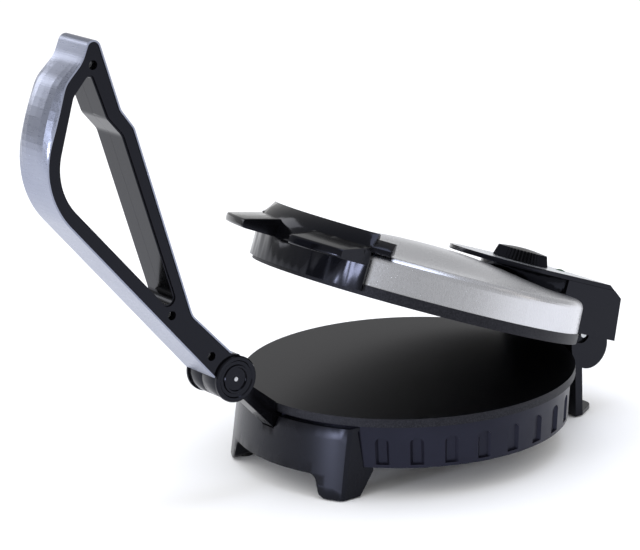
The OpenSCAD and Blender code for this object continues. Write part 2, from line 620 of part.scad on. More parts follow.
module lid_front_catch() color([0.06, 0.06, 0.07]) on_lid() difference() {
    union() {
        sweep_front(catch_half) catch_profile();
        intersection() {
            sweep_front(catch_half) ear_profile();
            linear_extrude(3 * plate_h) ear_plan();
        }
        // Hook tabs round the cover's shoulder
        for (side = [-1, 1]) rotate([0, 0, side * (catch_half + 2.5)]) sweep_front(4)
            polygon([[cover_r - 3, shoulder_z + 0.5], [catch_r + 1, shoulder_z], [catch_r + 1, visor_foot_z],
                     [visor_r - 1, visor_top_z - 4], [visor_r - 3, visor_top_z - 4], [visor_r - 3, shoulder_z + 1.6]]);
    }
    cover_solid(fit_gap / 2);
    translate([0, 0, lid_z - 1]) cylinder(r = plate_r + fit_gap, h = lid_rim_t + 1.2);
}

// Rear housing: an open-bottomed box over the hinge, with a plinth that runs forward on the cover
plinth_y = tongue_y + 31;
plinth_x = panel_x - 3;
module box_profile() polygon([[0, box_foot_z], [box_foot_y, box_foot_z],
    [box_top_y, panel_top - chamfer_drop], [chamfer_y + panel_t * 14.5 / chamfer_drop, panel_z], [0, panel_z]]);
module box_hollow() polygon([[0, box_foot_z - 1], [box_foot_y - wall, box_foot_z - 1],
    [box_top_y - wall, panel_top - chamfer_drop - 1.4], [chamfer_y + 3, panel_z - wall], [0, panel_z - wall]]);
module plinth_plan(shrink) {
    translate([0, plinth_y]) circle(r = plinth_x - shrink);
    translate([-plinth_x + shrink, plinth_y]) square([2 * (plinth_x - shrink), plate_r - plinth_y]);
}
lid_screw_places = [[-30, plinth_y], [30, plinth_y]];
module rear_housing() color([0.06, 0.06, 0.07]) on_lid() difference() {
    union() {
        intersection() {
            across(2 * panel_x) box_profile();
            translate([-panel_x, box_front_y, 0]) cube([2 * panel_x, plate_r, 3 * plate_h]);
        }
        translate([0, 0, shoulder_z - 8]) linear_extrude(panel_z - shoulder_z + 8) plinth_plan(0);
    }
    difference() {
        union() {
            intersection() {
                across(2 * (panel_x - wall)) box_hollow();
                translate([-panel_x, box_front_y + wall, 0]) cube([2 * panel_x, plate_r, 3 * plate_h]);
            }
            // Way for the knuckle as the lid opens
            across(2 * (panel_x - wall)) translate([hinge_y, hinge_z]) circle(r = knuckle_reach);
            translate([0, 0, shoulder_z - 9]) linear_extrude(panel_z - wall - shoulder_z + 9) plinth_plan(wall);
        }
        // Hinge cheeks either side of the bracket
        for (side = [-1, 1]) translate([side * (panel_x - wall - 1.4), hinge_y, hinge_z]) rotate([0, 90, 0])
            cylinder(r = hinge_boss_r, h = 3, center = true);
        for (p = lid_screw_places) translate([p[0], p[1], 0]) cylinder(r = 4, h = 3 * plate_h);
    }
    translate([-panel_x + wall, box_top_y - 12, 0]) cube([2 * (panel_x - wall), 40, hinge_z + 16]);
    cover_solid(fit_gap / 2);
    translate([0, 0, lid_z - 1]) cylinder(r = plate_r + 1, h = lid_rim_t + 1.2);
    translate([0, hinge_y, hinge_z]) rotate([0, 90, 0])
        cylinder(r = hinge_pin_r + run_gap, h = 2 * (hinge_pin_x + 0.1), center = true);
    translate([0, knob_y, 0]) cylinder(r = neck_r + 0.3, h = 3 * plate_h);
    translate([0, lamp_y, 0]) cylinder(r = lamp_r + 0.3, h = 3 * plate_h);
    for (p = lid_screw_places) translate([p[0], p[1], 0]) cylinder(r = screw_r + 0.02, h = panel_z - 1);
}
box_front_y = 108;
knuckle_reach = norm([knuckle_y - hinge_y, knuckle_z - hinge_z]) + knuckle_r + fit_gap;

// Control panel with a raised rim, a metal inlay, and the lamp behind the knob
lamp_y = knob_y + 44;
lamp_r = 3;
neck_r = 5;
inlay_t = 0.8;
inlay_edge = 5;
module panel_plan(shrink) {
    translate([0, tongue_y]) circle(r = panel_x - shrink);
    translate([-panel_x + shrink, tongue_y]) square([2 * (panel_x - shrink), chamfer_y - shrink - tongue_y]);
}
module control_panel() color([0.05, 0.05, 0.06]) on_lid() difference() {
    union() {
        translate([0, 0, panel_z]) linear_extrude(panel_t) panel_plan(0);
        across(2 * panel_x) polygon([[chamfer_y - 1, panel_z], [chamfer_y + panel_t * 14.5 / chamfer_drop, panel_z],
            [chamfer_y, panel_top], [chamfer_y - 1, panel_top]]);
    }
    translate([0, 0, panel_top - inlay_t]) linear_extrude(2) panel_plan(inlay_edge);
    translate([0, knob_y, 0]) cylinder(r = shaft_r + 0.3, h = 3 * plate_h);
    translate([0, lamp_y, 0]) cylinder(r = lamp_r + 0.1, h = 3 * plate_h);
}
module panel_inlay() color([0.75, 0.76, 0.78]) on_lid() difference() {
    translate([0, 0, panel_top - inlay_t]) linear_extrude(inlay_t) panel_plan(inlay_edge + 0.1);
    translate([0, knob_y, 0]) cylinder(r = shaft_r + 0.3, h = 3 * plate_h);
    translate([0, lamp_y, 0]) cylinder(r = lamp_r + 0.1, h = 3 * plate_h);
}
module indicator_lens() color([0.05, 0.25, 0.12]) on_lid() translate([0, lamp_y, panel_z - 1]) {
    cylinder(r = lamp_r, h = panel_t + 1);
    translate([0, 0, panel_t + 1]) intersection() {
        cylinder(r = lamp_r + 1.2, h = 1.2);
        translate([0, 0, -6.4]) sphere(r = 7.6);
    }
}
module indicator_lamp() color([0.85, 0.5, 0.35]) on_lid() translate([0, lamp_y, panel_z - 13]) {
    cylinder(r = 2.5, h = 11.8);
    for (side = [-1, 1]) translate([side * 1.2, 0, -3]) cylinder(r = 0.4, h = 3 + eps);
}

// Thermostat: a body under the cover, its neck up to the panel, and the shaft to the knob
shaft_r = 3;
body_z = shoulder_z - 15;
neck_z = shoulder_z - 1;
module thermostat_body() color([0.78, 0.76, 0.70]) on_lid() translate([0, knob_y, 0]) difference() {
    union() {
        translate([0, 0, body_z]) cylinder(r = 14, h = neck_z - body_z);
        translate([0, 0, neck_z - eps]) cylinder(r = neck_r, h = panel_z - neck_z + eps);
        translate([-3, 12, body_z + 4]) cube([6, 8, 1.2]);
    }
    translate([0, 0, body_z + 6]) cylinder(r = shaft_r + run_gap, h = 60);
}
module lid_screws() color([0.6, 0.6, 0.62]) on_lid() for (p = lid_screw_places)
    translate([p[0], p[1], crown(norm(p)) - steel_t - 0.05]) screw(8);

module thermostat_shaft() color([0.7, 0.7, 0.72]) on_lid() translate([0, knob_y, body_z + 6.1])
    cylinder(r = shaft_r, h = panel_top + knob_h - 2 - body_z - 6.1);

knob_seat = panel_top + 0.3;
knob_top_r = knob_r - 2.4;
module thermostat_knob() color([0.05, 0.05, 0.05]) on_lid() translate([0, knob_y, knob_seat]) difference() {
    rotate_extrude() polygon(concat([[0, 0], [knob_r, 0], [knob_r, 0.8]],
        [[knob_top_r + 0.8, knob_h - 0.8], [knob_top_r, knob_h]],
        [for (i = [1:5]) [knob_top_r * (1 - i / 5), knob_h + 1.9 * sin(90 * i / 5)]]));
    for (k = [0:knob_ribs - 1]) rotate([0, 0, 360 * k / knob_ribs]) translate([knob_r, 0, 0])
        rotate([0, -atan((knob_r - knob_top_r) / knob_h), 0]) rotate([0, 0, 45])
        translate([-0.36, -0.36, -2]) cube([3, 3, knob_h + 4]);
    translate([0, 0, -1]) tube(knob_top_r - 1.6, shaft_r + 3, knob_h - 1.4);
    translate([0, 0, -1]) cylinder(r = shaft_r + 0.02, h = knob_h - 1 + eps);
}

// HANDLE, drawn about the barrel axis; corners are [y, z, radius]
grip_hole = [[-42.3, 50.8, 4.8], [-83.3, 193, 10], [-94.5, 206.5, 9], [-105.8, 240, 2.6], [-119.3, 225.5, 9],
             [-138.65, 163.9, 45]];
handle_holes = [[-103.3, 245.4], [-50.5, 57.6], [-18.8, 20.7]];
handle_hole_r = 3.3;
slot_x = arm_w / 2 + fit_gap;
module frame_profile() {
    difference() {
        polygon(rounded(inset(grip, band_t + 0.05)));
        polygon(rounded(grip_hole));
    }
    circle(r = barrel_r);
}
// The arm swings in this sector as the handle moves
module arm_sector() polygon(concat([[0, 0]],
    [for (a = [-(90 - arm_lean) - 25:10:-(90 - arm_lean) + handle_swing + 25.1]) 30 * [cos(a), sin(a)]]));
module handle_half(side) difference() {
    union() {
        from_x(side > 0 ? 0.05 : -frame_x, side > 0 ? frame_x : -0.05) frame_profile();
    }
    // Eye cavity and the slot for the press arm
    across(2 * slot_x) circle(r = eye_r + fit_gap);
    across(2 * slot_x) arm_sector();
    rotate([0, 90, 0]) cylinder(r = pin_r + 0.02, h = 3 * handle_w, center = true);
    // Step round the opening, on the outer face
    from_x(side > 0 ? frame_x - 1.2 : -frame_x - 1, side > 0 ? frame_x + 1 : -frame_x + 1.2)
        polygon(rounded(inset(grip_hole, -1.4)));
    for (p = handle_holes) translate([0, p[0], p[1]]) rotate([0, 90, 0]) {
        cylinder(r = screw_r + 0.02, h = 2 * frame_x - 5, center = true);
        if (side > 0) translate([0, 0, frame_x - 8]) cylinder(r = handle_hole_r, h = 20);
    }
}
module handle_frame_right() color([0.07, 0.07, 0.08]) on_handle() handle_half(1);
module handle_frame_left() color([0.07, 0.07, 0.08]) on_handle() handle_half(-1);

// Steel band round the outside of the frame, open at the barrel. Over the palm it swells in width
// and in crown, so it is lofted: sections across x, set square to the outline.
strap_tuck = 9.2;
strap_points = [for (p = rounded(grip)) if (p[1] > 20) p];
strap_end = xy(grip[0]) + strap_tuck * unit(xy(grip[len(grip) - 1]) - xy(grip[0]));
strap_rough = concat(strap_points, [strap_end]);
strap_step = 7;
function refined(path) = concat(
    [for (i = [0:len(path) - 2])
        let (gap = path[i + 1] - path[i], swollen = swell(path[i]) + swell(path[i + 1]) > 0,
             n = swollen ? ceil(norm(gap) / strap_step) : 1)
        for (k = [0:n - 1]) path[i] + gap * k / n],
    [path[len(path) - 1]]);
strap = refined(strap_rough);
function strap_normal(i) = let (last = len(strap) - 1,
    d = unit(strap[min(i + 1, last)] - strap[max(i - 1, 0)])) [d[1], -d[0]];
across_steps = [for (t = [-90:22.5:90]) sin(t)];
function strap_point(i, u, depth) = let (p = strap[i],
    half = frame_x + band_lip + palm_widen * swell(p),
    q = p + strap_normal(i) * (palm_crown * swell(p) * (1 - pow(u, 4)) - depth))
    [half * u, q[0], q[1]];
strap_ring = 2 * len(across_steps);
module handle_band() color([0.62, 0.65, 0.70]) on_handle() polyhedron(
    [for (i = [0:len(strap) - 1]) each concat(
        [for (u = across_steps) strap_point(i, u, 0)],
        [for (u = across_steps) strap_point(i, -u, band_t)])],
    concat([for (j = [0:strap_ring / 2 - 2]) [strap_ring - 1 - j, strap_ring - 2 - j, j + 1, j]],
        [for (i = [0:len(strap) - 2], j = [0:strap_ring - 1])
            let (k = i * strap_ring, n = (j + 1) % strap_ring)
            [k + j, k + n, k + strap_ring + n, k + strap_ring + j]],
        [for (j = [0:strap_ring / 2 - 2]) let (k = (len(strap) - 1) * strap_ring)
            [k + j, k + j + 1, k + strap_ring - 2 - j, k + strap_ring - 1 - j]]));

module barrel_cap(side) rotate([0, side * 90, 0]) translate([0, 0, frame_x + 0.02]) difference() {
    rotate_extrude() polygon([[0, 0], [cap_r, 0], [cap_r, cap_t - 0.8], [cap_r - 0.8, cap_t],
        [cap_r - 3.2, cap_t], [cap_r - 4, cap_t - 0.9], [cap_r - 6.4, cap_t - 0.9], [cap_r - 7, cap_t + 0.3],
        [cap_r - 8.4, cap_t + 0.3], [cap_r - 9, cap_t - 1.1], [0, cap_t - 1.1]]);
    translate([0, 0, -1]) cylinder(r = pin_end_r + 0.1, h = 10);
}
pin_end_r = 1.6;
module barrel_cap_right() color([0.05, 0.05, 0.05]) on_handle() barrel_cap(1);
module barrel_cap_left() color([0.05, 0.05, 0.05]) on_handle() barrel_cap(-1);
module barrel_pin() color([0.8, 0.78, 0.7]) on_handle() rotate([0, 90, 0]) {
    cylinder(r = pin_r, h = 2 * frame_x - 0.1, center = true);
    cylinder(r = pin_end_r, h = 2 * (frame_x + cap_t - 0.6), center = true);
}
module handle_screws() color([0.6, 0.6, 0.62]) on_handle() for (p = handle_holes)
    translate([frame_x - 8, p[0], p[1]]) rotate([0, -90, 0]) screw(20, head_r = 2.9);

base_drum();
base_bottom_cover();
lower_plate();
lower_element();
lower_heat_shield();
front_housing();
front_feet();
press_arm();
arm_screws();
rear_bracket();
rear_feet();
hinge_pin();
cord_gland();
terminal_block();
thermal_fuse();
base_screws();
upper_plate();
upper_element();
upper_heat_shield();
lid_cover();
lid_front_catch();
rear_housing();
control_panel();
panel_inlay();
indicator_lens();
indicator_lamp();
thermostat_body();
lid_screws();
thermostat_knob();
thermostat_shaft();
handle_frame_right();
handle_frame_left();
handle_band();
barrel_cap_right();
barrel_cap_left();
barrel_pin();
handle_screws();
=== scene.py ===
"""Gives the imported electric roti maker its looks: finishes, fine details, light and camera.

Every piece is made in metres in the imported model's own frame. Sizes that a user might change
are properties of the scene, and the rest is worked out from the frame.
"""

import json
import math

import bmesh
import bpy
from mathutils import Matrix, Vector


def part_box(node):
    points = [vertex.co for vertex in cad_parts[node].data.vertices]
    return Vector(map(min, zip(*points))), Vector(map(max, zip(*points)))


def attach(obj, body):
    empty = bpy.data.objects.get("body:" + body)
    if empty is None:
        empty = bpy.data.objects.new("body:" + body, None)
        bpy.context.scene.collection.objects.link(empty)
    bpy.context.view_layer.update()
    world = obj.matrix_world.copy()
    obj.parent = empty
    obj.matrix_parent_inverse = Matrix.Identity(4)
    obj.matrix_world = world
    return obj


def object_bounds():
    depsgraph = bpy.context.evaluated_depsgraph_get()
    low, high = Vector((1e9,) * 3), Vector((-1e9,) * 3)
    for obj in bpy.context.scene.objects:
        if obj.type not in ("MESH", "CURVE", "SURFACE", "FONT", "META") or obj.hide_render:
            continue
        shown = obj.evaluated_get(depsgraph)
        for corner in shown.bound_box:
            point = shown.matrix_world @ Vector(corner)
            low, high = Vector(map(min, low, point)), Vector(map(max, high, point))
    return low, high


bl_info = {
    "name": "Roti Maker Finish",
    "version": (1, 0, 0),
    "blender": (4, 5, 0),
    "location": "View3D > Sidebar > Roti Maker",
    "description": "Finishes, small details, light and camera for a roti maker model",
    "category": "Object",
}

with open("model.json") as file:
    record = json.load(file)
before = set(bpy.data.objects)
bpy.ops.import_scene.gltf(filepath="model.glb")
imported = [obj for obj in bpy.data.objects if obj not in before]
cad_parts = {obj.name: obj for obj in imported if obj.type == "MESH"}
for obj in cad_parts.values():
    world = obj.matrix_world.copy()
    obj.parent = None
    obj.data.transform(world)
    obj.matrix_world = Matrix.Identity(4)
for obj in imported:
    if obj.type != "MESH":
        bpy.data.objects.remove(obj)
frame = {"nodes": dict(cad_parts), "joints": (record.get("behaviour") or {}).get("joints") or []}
CAD_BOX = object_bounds()

MM = 0.001


# Places and poses read from the frame

def joint(name):
    """The frame's joint of that name."""
    return next(j for j in frame["joints"] if j["name"] == name)


def box_centre(name):
    """The middle of a CAD node's box at rest."""
    low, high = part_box(name)
    return (Vector(low) + Vector(high)) / 2


PLATE_CENTRE = box_centre("lower_plate")
PLATE_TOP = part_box("lower_plate")[1][2]
HINGE = Vector(joint("lid_hinge")["pos_m"])
LID_REST = math.radians(-joint("lid_hinge")["range_deg"][0])


def on_lid():
    """Takes a point drawn with the lid shut to its place with the lid at rest."""
    turn = Matrix.Rotation(-LID_REST, 4, "X")
    return Matrix.Translation(HINGE) @ turn @ Matrix.Translation(-HINGE)


# Radius of the hinge's barrel, and the web beside it: height above the axis, clearances to the
# barrel, plate and cheeks, and where its hollow follows the barrel
HINGE_BARREL_MM = 11
WEB_MM = 22
WEB_OFF_BARREL_MM = 0.7
WEB_OFF_PLATE_MM = 0.4
WEB_INSIDE_PANEL_MM = 3.2
WEB_ARC_DEG = (125, 140, 155, 168)


# Material tools

def from_hex(code):
    """Linear RGBA from an sRGB hex code."""
    shades = [int(code[i:i + 2], 16) / 255 for i in (1, 3, 5)]
    linear = [s / 12.92 if s <= 0.04045 else ((s + 0.055) / 1.055) ** 2.4 for s in shades]
    return (*linear, 1.0)


def add_node(tree, kind, inputs=None, **settings):
    """Adds a node with its settings. Inputs are values, or output sockets to link from."""
    made = tree.nodes.new(kind)
    for key, value in settings.items():
        setattr(made, key, value)
    for key, value in (inputs or {}).items():
        if isinstance(value, bpy.types.NodeSocket):
            tree.links.new(value, made.inputs[key])
        else:
            made.inputs[key].default_value = value
    return made


def new_material(name):
    """An empty material with its shader and output joined: (material, tree, shader)."""
    material = bpy.data.materials.new(name)
    material.use_nodes = True
    tree = material.node_tree
    tree.nodes.clear()
    shader = add_node(tree, "ShaderNodeBsdfPrincipled")
    add_node(tree, "ShaderNodeOutputMaterial", {"Surface": shader.outputs["BSDF"]})
    return material, tree, shader


def set_shader(shader, **values):
    """Sets constants on the shader's own sockets."""
    for key, value in values.items():
        shader.inputs[key.replace("_", " ")].default_value = value


def colour_ramp(tree, factor, stops):
    """A colour ramp over a factor, with stops as (position, colour)."""
    ramp = add_node(tree, "ShaderNodeValToRGB", {"Fac": factor})
    band = ramp.color_ramp
    while len(band.elements) < len(stops):
        band.elements.new(0.5)
    for element, (position, colour) in zip(band.elements, stops):
        element.position = position
        element.color = colour
    return ramp.outputs["Color"]


def grey(value):
    """A grey for ramps that drive a roughness or a height."""
    return (value, value, value, 1.0)


def noise(tree, size_mm, detail=2.0, stretch=(1, 1, 1)):
    """Noise whose features are about size_mm across, in object space."""
    place = add_node(tree, "ShaderNodeTexCoord").outputs["Object"]
    scale = add_node(tree, "ShaderNodeMapping", {"Vector": place, "Scale": stretch})
    return add_node(tree, "ShaderNodeTexNoise", {"Vector": scale.outputs["Vector"],
                    "Scale": 1 / (size_mm * MM), "Detail": detail}).outputs["Fac"]


def add_bump(tree, shader, height, depth_mm, strength=0.5):
    """Joins a height pattern to the shader as a bump of that depth."""
    bump = add_node(tree, "ShaderNodeBump", {"Height": height, "Strength": strength,
                                             "Distance": depth_mm * MM})
    tree.links.new(bump.outputs["Normal"], shader.inputs["Normal"])


def moulded_phenolic(name, code, rough_low, rough_high):
    """Polished black phenolic: hard, glossy, with faint flow marks that soften its reflections."""
    material, tree, shader = new_material(name)
    # Real phenolic is nearer 1.6 and reflects without colour. An all-white dome would then turn
    # the black grey, so both values are matched to the picture
    # The blue-white Specular Tint is a painted reflection colour: it tints every reflection blue,
    # standing in for the cool studio light they show.
    set_shader(shader, Base_Color=from_hex(code), IOR=1.32, Specular_Tint=from_hex("#D2D7F2"))
    flow = noise(tree, 38, 3, (1, 1, 0.4))
    rough = colour_ramp(tree, flow, [(0.3, grey(rough_low)), (0.7, grey(rough_high))])
    tree.links.new(rough, shader.inputs["Roughness"])
    add_bump(tree, shader, noise(tree, 0.9, 2), 0.02, 0.06)
    return material


def moulded_polypropylene():
    """Dark blue-black polypropylene: a waxy half gloss over a fine eroded grain."""
    material, tree, shader = new_material("moulded polypropylene, blue-black")
    tint = colour_ramp(tree, noise(tree, 30, 2), [(0.3, from_hex("#121219")),
                                                   (0.7, from_hex("#171720"))])
    tree.links.new(tint, shader.inputs["Base Color"])
    # Real polypropylene is nearer 1.5; both values are matched to the picture
    # The blue-white Specular Tint is a painted reflection colour: it tints the reflections blue,
    # standing in for the cool studio light.
    set_shader(shader, IOR=1.36, Specular_Tint=from_hex("#C8CEF4"))
    rough = colour_ramp(tree, noise(tree, 12, 3), [(0.3, grey(0.3)), (0.7, grey(0.38))])
    tree.links.new(rough, shader.inputs["Roughness"])
    # Spark-eroded grain, drawn at about three times its real 0.2 mm so that it shows
    add_bump(tree, shader, noise(tree, 0.6, 2), 0.03, 0.2)
    return material


def nonstick_casting():
    """Aluminium casting under black non-stick: smooth faces with a soft sheen, pebbled rims."""
    material, tree, shader = new_material("PTFE-sprayed cast aluminium")
    normal = add_node(tree, "ShaderNodeTexCoord").outputs["Normal"]
    upward = add_node(tree, "ShaderNodeSeparateXYZ", {"Vector": normal}).outputs["Z"]
    flat = add_node(tree, "ShaderNodeMath", {0: upward}, operation="ABSOLUTE").outputs["Value"]
    face = colour_ramp(tree, flat, [(0.5, grey(0.0)), (0.85, grey(1.0))])
    # Sprayed casting grain on the rims, about 1 mm across
    pebble = noise(tree, 1.0, 4)
    speckle = colour_ramp(tree, pebble, [(0.42, from_hex("#0A0A0B")), (0.66, from_hex("#222225"))])
    tint = add_node(tree, "ShaderNodeMix", {"Factor": face, 6: speckle, 7: from_hex("#060607")},
                    data_type="RGBA")
    tree.links.new(tint.outputs[2], shader.inputs["Base Color"])
    # The pale blue Specular Tint is a painted reflection colour: it tints the sheen blue, standing
    # in for the cool studio light.
    set_shader(shader, IOR=1.36, Specular_Tint=from_hex("#DADDF4"))
    rough = add_node(tree, "ShaderNodeMapRange", {"Value": face, "To Min": 0.5, "To Max": 0.33})
    tree.links.new(rough.outputs["Result"], shader.inputs["Roughness"])
    height = add_node(tree, "ShaderNodeMapRange", {"Value": face, "To Min": 0.5, "To Max": 0.05})
    bump = add_node(tree, "ShaderNodeBump", {"Height": pebble, "Distance": 0.15 * MM,
                                             "Strength": height.outputs["Result"]})
    tree.links.new(bump.outputs["Normal"], shader.inputs["Normal"])
    return material


def brushed_stainless(name, code_low, code_high, stretch, rough_low, rough_high):
    """Stainless sheet with a satin grain: long fine scratches that draw highlights out."""
    material, tree, shader = new_material(name)
    set_shader(shader, Metallic=1.0)
    # Real grain is near 0.1 mm wide; 0.7 mm is the finest that shows here
    grain = noise(tree, 0.7, 2, stretch)
    cloud = noise(tree, 45, 2)
    both = add_node(tree, "ShaderNodeMath", {0: grain, 1: cloud}, operation="ADD")
    half = add_node(tree, "ShaderNodeMath", {0: both.outputs["Value"], 1: 0.5},
                    operation="MULTIPLY")
    tint = colour_ramp(tree, half.outputs["Value"],
                       [(0.35, from_hex(code_low)), (0.65, from_hex(code_high))])
    tree.links.new(tint, shader.inputs["Base Color"])
    rough = colour_ramp(tree, grain, [(0.3, grey(rough_low)), (0.7, grey(rough_high))])
    tree.links.new(rough, shader.inputs["Roughness"])
    add_bump(tree, shader, grain, 0.003, 0.06)
    return material


def zinc_plated_steel():
    """Turned or cold-headed steel with bright zinc: cool, with faint cloudy dulling."""
    material, tree, shader = new_material("zinc-plated steel")
    set_shader(shader, Metallic=1.0)
    cloud = noise(tree, 2.5, 3)
    tint = colour_ramp(tree, cloud, [(0.3, from_hex("#A9ABAE")), (0.7, from_hex("#CDCFD2"))])
    tree.links.new(tint, shader.inputs["Base Color"])
    rough = colour_ramp(tree, cloud, [(0.3, grey(0.22)), (0.7, grey(0.38))])
    tree.links.new(rough, shader.inputs["Roughness"])
    return material


def rolled_aluminium():
    """Thin mill-finish aluminium sheet: soft, slightly streaked reflections."""
    material, tree, shader = new_material("mill-finish aluminium sheet")
    set_shader(shader, Metallic=1.0)
    streak = noise(tree, 1.2, 3, (1, 0.06, 1))
    tint = colour_ramp(tree, streak, [(0.3, from_hex("#B9BABC")), (0.7, from_hex("#D3D4D5"))])
    tree.links.new(tint, shader.inputs["Base Color"])
    rough = colour_ramp(tree, streak, [(0.3, grey(0.32)), (0.7, grey(0.46))])
    tree.links.new(rough, shader.inputs["Roughness"])
    return material


def heat_tinted_sheath():
    """Nickel-alloy tube that has been red hot: dull brown-grey oxide in patches."""
    material, tree, shader = new_material("oxidised nickel-alloy sheath")
    set_shader(shader, Metallic=0.8)
    patch = noise(tree, 9, 4)
    tint = colour_ramp(tree, patch, [(0.3, from_hex("#5C544B")), (0.7, from_hex("#8C8378"))])
    tree.links.new(tint, shader.inputs["Base Color"])
    rough = colour_ramp(tree, patch, [(0.3, grey(0.45)), (0.7, grey(0.62))])
    tree.links.new(rough, shader.inputs["Roughness"])
    return material


def silicone_rubber():
    """Black silicone rubber: dull and slightly dusty."""
    material, tree, shader = new_material("moulded silicone rubber")
    dust = noise(tree, 3, 3)
    tint = colour_ramp(tree, dust, [(0.4, from_hex("#141414")), (0.8, from_hex("#1F1F1F"))])
    tree.links.new(tint, shader.inputs["Base Color"])
    set_shader(shader, Roughness=0.7, IOR=1.41)
    add_bump(tree, shader, dust, 0.05, 0.3)
    return material


def steatite_ceramic():
    """Unglazed steatite: off-white, chalky, with a fine pressed grain."""
    material, tree, shader = new_material("unglazed steatite")
    grain = noise(tree, 1.5, 3)
    tint = colour_ramp(tree, grain, [(0.3, from_hex("#CFCABC")), (0.7, from_hex("#E0DCD0"))])
    tree.links.new(tint, shader.inputs["Base Color"])
    set_shader(shader, Roughness=0.62, IOR=1.6)
    add_bump(tree, shader, grain, 0.05, 0.3)
    return material


def tinted_acrylic(name, code):
    """Clear tinted acrylic: deep colour where it faces the camera, lightened towards grazing angles
    as a painted sheen.
    """
    material, tree, shader = new_material(name)
    # The Facing factor measures how grazing the view is; the colour lightens with it to paint a
    # sheen on the edges.
    depth = add_node(tree, "ShaderNodeLayerWeight", {"Blend": 0.4}).outputs["Facing"]
    deep = from_hex(code)
    painted_sheen_tint = tuple(min(1.0, c * 2.2) for c in deep[:3]) + (1.0,)
    tint = colour_ramp(tree, depth, [(0.0, deep), (1.0, painted_sheen_tint)])
    tree.links.new(tint, shader.inputs["Base Color"])
    set_shader(shader, Roughness=0.08, IOR=1.49, Transmission_Weight=0.15)
    return material


# Tools for the pieces

def dress(names, material):
    """Gives CAD nodes or pieces one material."""
    for name in names:
        piece = frame["nodes"][name] if isinstance(name, str) else name
        piece.data.materials.clear()
        piece.data.materials.append(material)


def soften(names, width_mm, limit_deg=32):
    """Rounds the sharp edges of CAD nodes by a small bevel, as a mould or press leaves them."""
    for name in names:
        piece = frame["nodes"][name]
        weld = piece.modifiers.new("weld", "WELD")
        weld.merge_threshold = 0.00001
        bevel = piece.modifiers.new("edge radius", "BEVEL")
        bevel.width = width_mm * MM
        bevel.segments = 2
        bevel.limit_method = "ANGLE"
        bevel.angle_limit = math.radians(limit_deg)
        bevel.harden_normals = True
        bevel.use_clamp_overlap = True


def prism(name, outline, half_width):
    """A bar across X whose side view is the outline, given as (y, z) points in metres."""
    mesh = bpy.data.meshes.new(name)
    work = bmesh.new()
    rings = [[work.verts.new((x, y, z)) for y, z in outline] for x in (-half_width, half_width)]
    work.faces.new(rings[0])
    work.faces.new(list(reversed(rings[1])))
    for i in range(len(outline)):
        k = (i + 1) % len(outline)
        work.faces.new((rings[0][k], rings[0][i], rings[1][i], rings[1][k]))
    bmesh.ops.recalc_face_normals(work, faces=work.faces)
    work.to_mesh(mesh)
    work.free()
    piece = bpy.data.objects.new(name, mesh)
    bpy.context.collection.objects.link(piece)
    return piece


# Sizes and colours a user might change

class RotiMakerSettings(bpy.types.PropertyGroup):
    """Sizes and colours of the finish."""

    edge_radius: bpy.props.FloatProperty(
        name="Edge radius", description="Radius on the edges of moulded pieces, in millimetres",
        default=0.5, min=0.1, max=1.5)
    lens_mm: bpy.props.FloatProperty(
        name="Lens", description="Focal length of the camera", default=157.5, min=50, max=250,
        unit="CAMERA")
    camera_turn: bpy.props.FloatProperty(
        name="Camera turn", description="How far round the right-hand side the camera stands",
        default=math.radians(54.5), subtype="ANGLE")
    camera_rise: bpy.props.FloatProperty(
        name="Camera rise", description="Camera's elevation above the table",
        default=math.radians(15.95), subtype="ANGLE")
    camera_roll: bpy.props.FloatProperty(
        name="Camera roll", description="Tilt of the picture", default=math.radians(-2.03),
        subtype="ANGLE")
    camera_distance: bpy.props.FloatProperty(
        name="Camera distance", description="From the middle of the lower plate",
        default=2.134, min=0.5, max=5, unit="LENGTH")
    backdrop: bpy.props.FloatVectorProperty(
        name="Backdrop", description="Colour of the floor and the background",
        subtype="COLOR", size=4, default=from_hex("#FEFEFE"), min=0, max=1)


class ROTI_OT_base(bpy.types.Operator):
    """Finishes the drum, lower plate, front housing and rear bracket"""

    bl_idname = "roti.base"
    bl_label = "Base"

    def execute(self, context):
        settings = context.scene.roti_maker
        gloss = moulded_phenolic("polished phenolic, black", "#08080A", 0.10, 0.16)
        dress(["press_arm", "rear_bracket"], gloss)
        dress(["front_housing"], moulded_phenolic("satin phenolic, housing", "#08080A", 0.24, 0.30))
        soften(["front_housing", "press_arm", "rear_bracket"], settings.edge_radius)
        dress(["base_drum", "base_bottom_cover"], moulded_polypropylene())
        dress(["lower_plate"], nonstick_casting())
        dress(["front_feet", "rear_feet", "cord_gland"], silicone_rubber())
        dress(["lower_element"], heat_tinted_sheath())
        dress(["lower_heat_shield"], rolled_aluminium())
        dress(["arm_screws", "base_screws", "hinge_pin"], zinc_plated_steel())
        dress(["terminal_block", "thermal_fuse"], steatite_ceramic())
        return {"FINISHED"}


